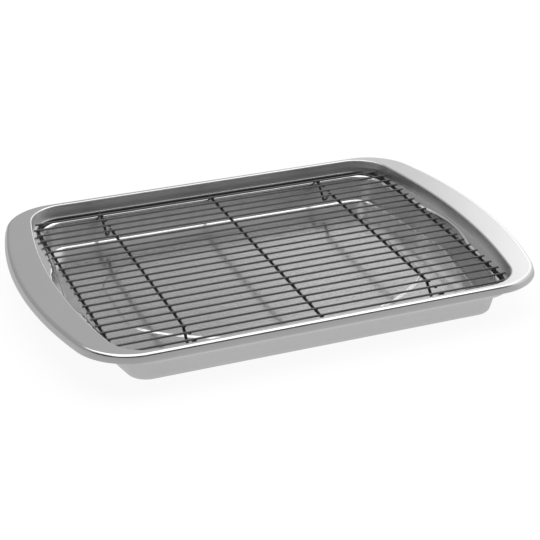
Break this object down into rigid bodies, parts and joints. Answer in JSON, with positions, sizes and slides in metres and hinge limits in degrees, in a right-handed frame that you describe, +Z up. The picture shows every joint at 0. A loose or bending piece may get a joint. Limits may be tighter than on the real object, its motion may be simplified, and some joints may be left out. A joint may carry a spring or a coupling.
{
  "type": "sheet pan with rack",
  "caption": "Shallow aluminium sheet pan with wide end flanges and an inner ledge, holding a loose dark wire rack that lifts out.",
  "frame": {"origin": "middle of the pan on the plane that it stands on", "axes": "+X along the length to the right-hand end flange, +Y across to the back long side, +Z up"},
  "size_m": [0.434, 0.307, 0.0364],
  "materials": {
    "pan_aluminium": "bare satin aluminium, drawn, slightly scuffed",
    "coated_wire": "dark non-stick coating, half gloss"
  },
  "bodies": {
    "pan": {"sheet_pan": "pan_aluminium"},
    "rack": {"border_wire": "coated_wire", "leg_bar_left": "coated_wire", "leg_bar_right": "coated_wire", "centre_bar": "coated_wire", "long_wire_01": "coated_wire", "long_wire_02": "coated_wire", "long_wire_03": "coated_wire", "long_wire_04": "coated_wire", "long_wire_05": "coated_wire", "long_wire_06": "coated_wire", "long_wire_07": "coated_wire", "long_wire_08": "coated_wire", "long_wire_09": "coated_wire", "long_wire_10": "coated_wire", "long_wire_11": "coated_wire", "long_wire_12": "coated_wire", "long_wire_13": "coated_wire", "long_wire_14": "coated_wire", "long_wire_15": "coated_wire", "long_wire_16": "coated_wire", "long_wire_17": "coated_wire", "long_wire_18": "coated_wire", "long_wire_19": "coated_wire", "long_wire_20": "coated_wire", "long_wire_21": "coated_wire", "long_wire_22": "coated_wire"}
  },
  "joints": [
    {"name": "rack_lift", "type": "slide", "parent": "pan", "child": "rack", "axis": [0, 0, 1], "range_m": [0, 0.08]}
  ]
}
